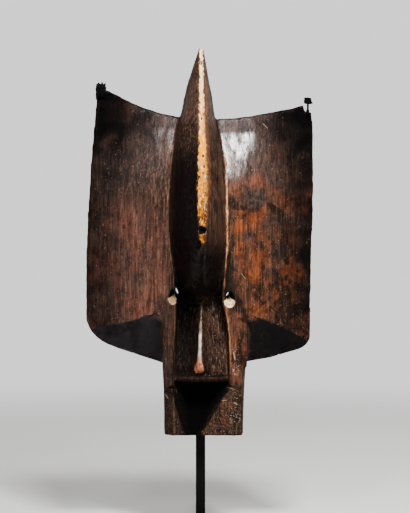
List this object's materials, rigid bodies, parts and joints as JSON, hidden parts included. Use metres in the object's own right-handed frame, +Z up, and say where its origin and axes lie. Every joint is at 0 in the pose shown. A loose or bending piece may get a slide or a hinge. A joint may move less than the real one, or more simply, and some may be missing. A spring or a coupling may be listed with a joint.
{
  "type": "mask on stand",
  "caption": "Carved wooden animal mask with broad upright ears, a keeled crest and a square muzzle, held on a steel display stand.",
  "frame": {"origin": "centre of the underside of the stand's foot", "axes": "+Z up along the stand, the mask looks along -Y, +X is on the right of somebody facing it"},
  "size_m": [0.3867, 0.2298, 0.828],
  "materials": {
    "dark_wood": "carved hardwood with a dark glossy patina, worn pale on the crest's ridge",
    "blackened_binding": "matt, blackened with use",
    "black_steel": "satin black"
  },
  "bodies": {
    "root": {"carved_mask": "dark_wood", "left_ear_tie": "blackened_binding", "right_ear_tie": "blackened_binding", "stand_saddle": "black_steel", "stand_rod": "black_steel", "stand_foot": "black_steel"}
  },
  "joints": []
}
